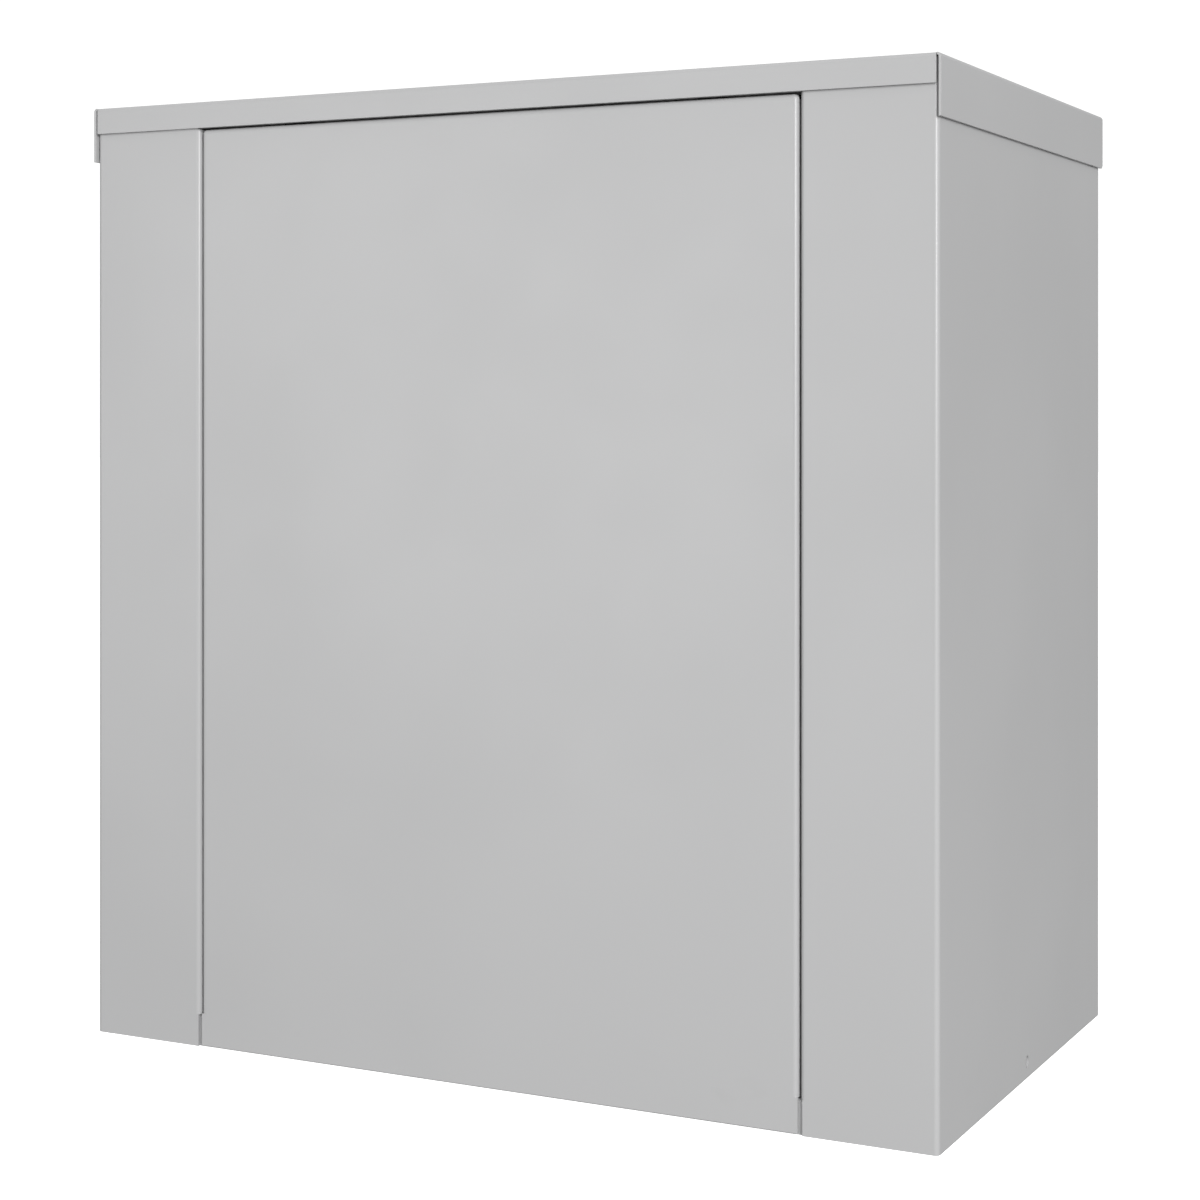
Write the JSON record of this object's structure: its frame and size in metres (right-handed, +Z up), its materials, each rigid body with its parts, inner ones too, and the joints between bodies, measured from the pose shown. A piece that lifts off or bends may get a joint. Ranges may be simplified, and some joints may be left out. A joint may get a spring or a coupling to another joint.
{
  "type": "switchboard cabinet",
  "caption": "Grey sheet-steel switchboard cabinet with an overhanging roof cap, a flush full-height hinged door, a hidden cam lock and a mounting plate carrying rail-mounted switchgear.",
  "frame": {"origin": "centre of the rectangular footprint, at floor level", "axes": "+Z up, -Y out through the front door, +X to the right seen from the front"},
  "size_m": [0.604, 0.354, 0.63],
  "materials": {
    "powder_coat": "satin light grey powder coat with a fine orange-peel texture",
    "galvanised": "galvanised sheet with faint spangle",
    "zinc_fastener": "bright zinc plate",
    "lock_steel": "turned nickel-plated steel",
    "brass": "machined brass, slightly tarnished",
    "copper": "bare copper strip",
    "rubber": "matt black rubber",
    "pocket_plastic": "grained dark grey moulding",
    "duct_plastic": "extruded grey PVC",
    "device_housing": "fine-textured off-white moulding",
    "black_plastic": "satin black moulding",
    "red_plastic": "smooth red moulding",
    "yellow_plastic": "smooth yellow moulding",
    "terminal_plastic": "grey-beige polyamide",
    "blue_plastic": "blue polyamide"
  },
  "bodies": {
    "cabinet": {"left_side_panel": "powder_coat", "right_side_panel": "powder_coat", "back_panel": "powder_coat", "back_panel_rivets": "zinc_fastener", "bottom_tray": "powder_coat", "gland_plate": "galvanised", "gland_plate_screws": "zinc_fastener", "cable_grommets": "rubber", "roof_cap": "powder_coat", "roof_cap_nuts": "zinc_fastener", "top_front_rail": "powder_coat", "top_rear_rail": "powder_coat", "door_buffers": "rubber", "upper_hinge_bracket": "galvanised", "lower_hinge_bracket": "galvanised", "hinge_pins": "zinc_fastener", "frame_earth_stud": "brass", "mounting_plate": "galvanised", "plate_studs": "zinc_fastener", "plate_nuts": "zinc_fastener", "upper_din_rail": "galvanised", "lower_din_rail": "galvanised", "rail_screws": "zinc_fastener", "left_wire_duct": "duct_plastic", "right_wire_duct": "duct_plastic", "middle_wire_duct": "duct_plastic", "wire_duct_covers": "duct_plastic", "main_switch_body": "black_plastic", "rcd_body": "device_housing", "breaker_body_1": "device_housing", "breaker_body_2": "device_housing", "breaker_body_3": "device_housing", "breaker_body_4": "device_housing", "comb_busbar": "copper", "terminal_blocks": "terminal_plastic", "end_stops": "terminal_plastic", "bar_feet": "blue_plastic", "neutral_bar": "brass", "earth_bar": "brass"},
    "door": {"door_panel": "powder_coat", "door_stiffener": "powder_coat", "document_pocket": "pocket_plastic", "upper_hinge_arm": "galvanised", "lower_hinge_arm": "galvanised", "hinge_arm_nuts": "zinc_fastener", "lock_bracket": "galvanised", "lock_barrel": "lock_steel", "lock_nut": "zinc_fastener", "door_earth_stud": "brass"},
    "lock": {"lock_plug": "brass", "lock_cam": "zinc_fastener", "lock_cam_screw": "zinc_fastener"},
    "main_toggle": {"main_switch_toggle": "black_plastic"},
    "trip_button": {"main_switch_trip_button": "red_plastic"},
    "rcd_lever": {"rcd_toggle": "black_plastic"},
    "rcd_button": {"rcd_test_button": "yellow_plastic"},
    "breaker_lever_1": {"breaker_toggle_1": "black_plastic"},
    "breaker_lever_2": {"breaker_toggle_2": "black_plastic"},
    "breaker_lever_3": {"breaker_toggle_3": "black_plastic"},
    "breaker_lever_4": {"breaker_toggle_4": "black_plastic"}
  },
  "joints": [
    {"name": "door_hinge", "type": "hinge", "parent": "cabinet", "child": "door", "pos_m": [-0.231, -0.168, 0.31], "axis": [0, 0, -1], "range_deg": [0, 110]},
    {"name": "lock_turn", "type": "hinge", "parent": "door", "child": "lock", "pos_m": [0.193, -0.152, 0.04], "axis": [0, 0, -1], "range_deg": [0, 90]},
    {"name": "main_switch_lever", "type": "hinge", "parent": "cabinet", "child": "main_toggle", "pos_m": [0, 0.09, 0.5], "axis": [-1, 0, 0], "range_deg": [0, 40]},
    {"name": "trip_button_press", "type": "slide", "parent": "cabinet", "child": "trip_button", "axis": [0, 1, 0], "range_m": [0, 0.0018], "stiffness_N_per_m": 300},
    {"name": "rcd_lever_turn", "type": "hinge", "parent": "cabinet", "child": "rcd_lever", "pos_m": [-0.062, 0.09, 0.37], "axis": [-1, 0, 0], "range_deg": [0, 70]},
    {"name": "rcd_test_press", "type": "slide", "parent": "cabinet", "child": "rcd_button", "axis": [0, 1, 0], "range_m": [0, 0.002], "stiffness_N_per_m": 300},
    {"name": "breaker_lever_1_turn", "type": "hinge", "parent": "cabinet", "child": "breaker_lever_1", "pos_m": [-0.03325, 0.09, 0.37], "axis": [-1, 0, 0], "range_deg": [0, 70]},
    {"name": "breaker_lever_2_turn", "type": "hinge", "parent": "cabinet", "child": "breaker_lever_2", "pos_m": [-0.01545, 0.09, 0.37], "axis": [-1, 0, 0], "range_deg": [0, 70]},
    {"name": "breaker_lever_3_turn", "type": "hinge", "parent": "cabinet", "child": "breaker_lever_3", "pos_m": [0.00235, 0.09, 0.37], "axis": [-1, 0, 0], "range_deg": [0, 70]},
    {"name": "breaker_lever_4_turn", "type": "hinge", "parent": "cabinet", "child": "breaker_lever_4", "pos_m": [0.02015, 0.09, 0.37], "axis": [-1, 0, 0], "range_deg": [0, 70]}
  ]
}
